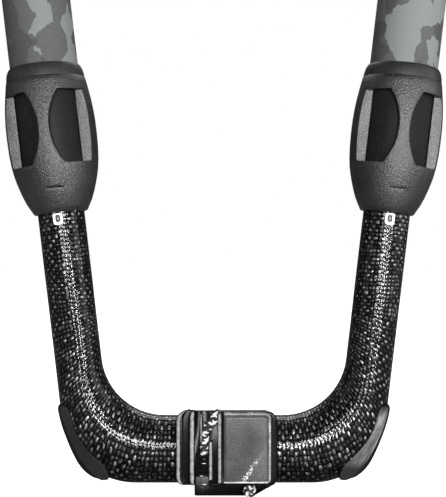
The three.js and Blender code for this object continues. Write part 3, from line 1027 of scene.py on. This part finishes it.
def braid(name, path, radius, lay, replaced=()):
    """A braided sheath on a core. One way has a white strand in four, the other way two."""
    basis = frames(path)
    along = [0.0]
    for a, b in zip(path, path[1:]):
        along.append(along[-1] + (b - a).length)
    for way, wound in ((-1, "s"), (1, "z")):
        for colour, mat in (("black", CORD_BLACK), ("white", CORD_WHITE)):
            meshes = []
            for k in range(STRANDS // 2):
                white = k % 2 == 0 if way > 0 else k == 0
                if white == (colour == "white"):
                    meshes.append(strand(basis, along, radius, 4 * math.pi * k / STRANDS, way, lay))
            label = f"{name}_{wound}_{colour}"
            nodes = replaced if (wound, colour) == ("s", "black") else ()
            finish_mesh(label, joined(name, meshes), mat, "tail", nodes, angle=80)
    core = []
    for here, side, up in basis:
        spokes = [2 * math.pi * j / 12 for j in range(12)]
        core.append([here + (side * math.cos(t) + up * math.sin(t)) * radius * 0.55 for t in spokes])
    finish_mesh(name + "_core", loft(core), CORD_BLACK, "tail", angle=80)


def knot_path(at, axis):
    """A short coil of the cord round its own axis."""
    turns, wide, long, count = 1.6, 1.75, 3.0, 40
    axis = Vector(axis).normalized()
    side = axis.orthogonal().normalized()
    up = axis.cross(side)
    out = []
    for k in range(count):
        t = k / (count - 1)
        angle = 2 * math.pi * turns * t
        around = (side * math.cos(angle) + up * math.sin(angle)) * wide
        out.append(Vector(at) + around + axis * (t - 0.5) * long)
    return out


braid("line", smooth_path(LINE, 8), 2.2, 11.0, ["outhaul_line"])
braid("front_knot", knot_path(FRONT_KNOT, (0, 1, 0.15)), 1.55, 7)
braid("top_knot", knot_path(TOP_KNOT, (0, 1, 0.3)), 1.55, 7)

# ---------- fitting halves and housing, with rounded edges ----------

# Planes (through a point, facing out) in metres that cut across the two upper corners.
CORNER_CUTS = (
    ((0.0253, -0.02, 0.0437), (0.66, 0.11, 0.75)),
    ((-0.0222, -0.02, 0.0448), (-0.49, 0.13, 0.87)),
)


def softened(name, width):
    """The node's own shape with its sharp edges rounded. What lies past the corner cuts is taken off."""
    shape = bmesh.new()
    shape.from_mesh(NODES[name].data)
    bmesh.ops.remove_doubles(shape, verts=shape.verts, dist=0.00001)
    bmesh.ops.dissolve_limit(shape, angle_limit=math.radians(1), verts=shape.verts, edges=shape.edges)
    for through, facing in CORNER_CUTS:
        everything = [*shape.verts, *shape.edges, *shape.faces]
        plane = {"plane_co": through, "plane_no": facing, "clear_outer": True}
        bmesh.ops.bisect_plane(shape, geom=everything, **plane)
        bmesh.ops.holes_fill(shape, edges=[edge for edge in shape.edges if edge.is_boundary])
    bmesh.ops.remove_doubles(shape, verts=shape.verts, dist=0.0001)
    bmesh.ops.dissolve_degenerate(shape, edges=shape.edges, dist=0.00002)
    mesh = bpy.data.meshes.new(name + "_soft")
    shape.to_mesh(mesh)
    shape.free()
    done = rounded_edges(add_object("soft_work", mesh), width * MM, 40, clamp=True)
    done.transform(Matrix.Scale(1 / MM, 4))
    done.materials.clear()
    finish_mesh(name + "_soft", done, FITTING, "tail", [name], angle=40)


for part in ("fitting_body", "fitting_back_shell", "rear_housing"):
    softened(part, 0.4)

# ---------- finishes of the nodes that show as they are ----------


def node_finish(name):
    if "screw" in name or "keeper" in name:
        return STEEL
    if "washer" in name or "collet" in name:
        return NYLON
    if "seal" in name:
        return RUBBER
    return JAW if name == "line_cleat" else DARK


for name, made in NODES.items():
    made.data.materials.clear()
    made.data.materials.append(node_finish(name))

# ---------- floor and light ----------

ground = bpy.data.meshes.new("ground")
reach = 6
corners = [(-reach, -reach, 0), (reach, -reach, 0), (reach, reach, 0), (-reach, reach, 0)]
ground.from_pydata(corners, [], [(0, 1, 2, 3)])
floor = add_object("ground", ground)
floor.location.z = -0.0004
pale, ground_tree, ground_shader = material("ground_pale", (0.2, 0.2, 0.2), 0.9)
glow = node(ground_tree, "ShaderNodeEmission", {"Color": (1, 1, 1, 1), "Strength": 0.97})
shade = node(ground_tree, "ShaderNodeBsdfDiffuse", {"Color": (0.8, 0.8, 0.8, 1)})
lit = node(ground_tree, "ShaderNodeAddShader", {0: glow.outputs[0], 1: shade.outputs[0]})
direct = node(ground_tree, "ShaderNodeLightPath").outputs["Is Camera Ray"]
parts = {0: direct, 1: ground_shader.outputs[0], 2: lit.outputs[0]}
surface = node(ground_tree, "ShaderNodeMixShader", parts)
ground_output = ground_tree.nodes["Material Output"]
ground_tree.links.new(surface.outputs[0], ground_output.inputs["Surface"])
ground.materials.append(pale)


def area(name, at, target, size, power):
    """A lamp that faces its target, in metres."""
    lamp = bpy.data.lights.new(name, "AREA")
    lamp.shape = "RECTANGLE"
    lamp.size, lamp.size_y = size
    lamp.energy = power
    made = add_object(name, lamp)
    made.location = at
    made.rotation_euler = (Vector(target) - Vector(at)).to_track_quat("-Z", "Y").to_euler()


# Name, place, target, width and height, watts.
area("key_right", (0.13, -1.25, 0.2), (0, 0, 0.15), (0.08, 0.2), 7)
area("key_left", (-0.15, -1.25, 0.3), (0, 0, 0.15), (0.2, 0.2), 6)
area("spark_right", (0.5, -1.15, 0.3), (0.07, 0, 0.05), (0.1, 0.1), 6)
area("low_right", (0.34, -0.62, 0.07), (0.08, 0, 0.03), (0.06, 0.06), 1.3)
area("side_right", (1.5, -0.35, 0.6), (0, 0, 0.18), (1.2, 1.2), 11)
area("side_left", (-1.5, -0.35, 0.6), (0, 0, 0.18), (1.2, 1.2), 2.5)
area("back_soft", (0.1, 1.3, 1.9), (0, 0, 0.2), (2.0, 1.2), 36)

# The camera sees a white world, and every other ray a dim one.
world = bpy.data.worlds.new("studio")
bpy.context.scene.world = world
world.use_nodes = True
sky = world.node_tree
backdrop = sky.nodes["Background"]
backdrop.inputs["Color"].default_value = (1, 1, 1, 1)
backdrop.inputs["Strength"].default_value = 0.05
bright = node(sky, "ShaderNodeBackground", {"Color": (1, 1, 1, 1), "Strength": 1.0})
seen = node(sky, "ShaderNodeLightPath").outputs["Is Camera Ray"]
mixed = node(sky, "ShaderNodeMixShader", {0: seen, 1: backdrop.outputs[0], 2: bright.outputs[0]})
sky.links.new(mixed.outputs[0], sky.nodes["World Output"].inputs["Surface"])
bpy.context.scene.view_settings.view_transform = "Standard"
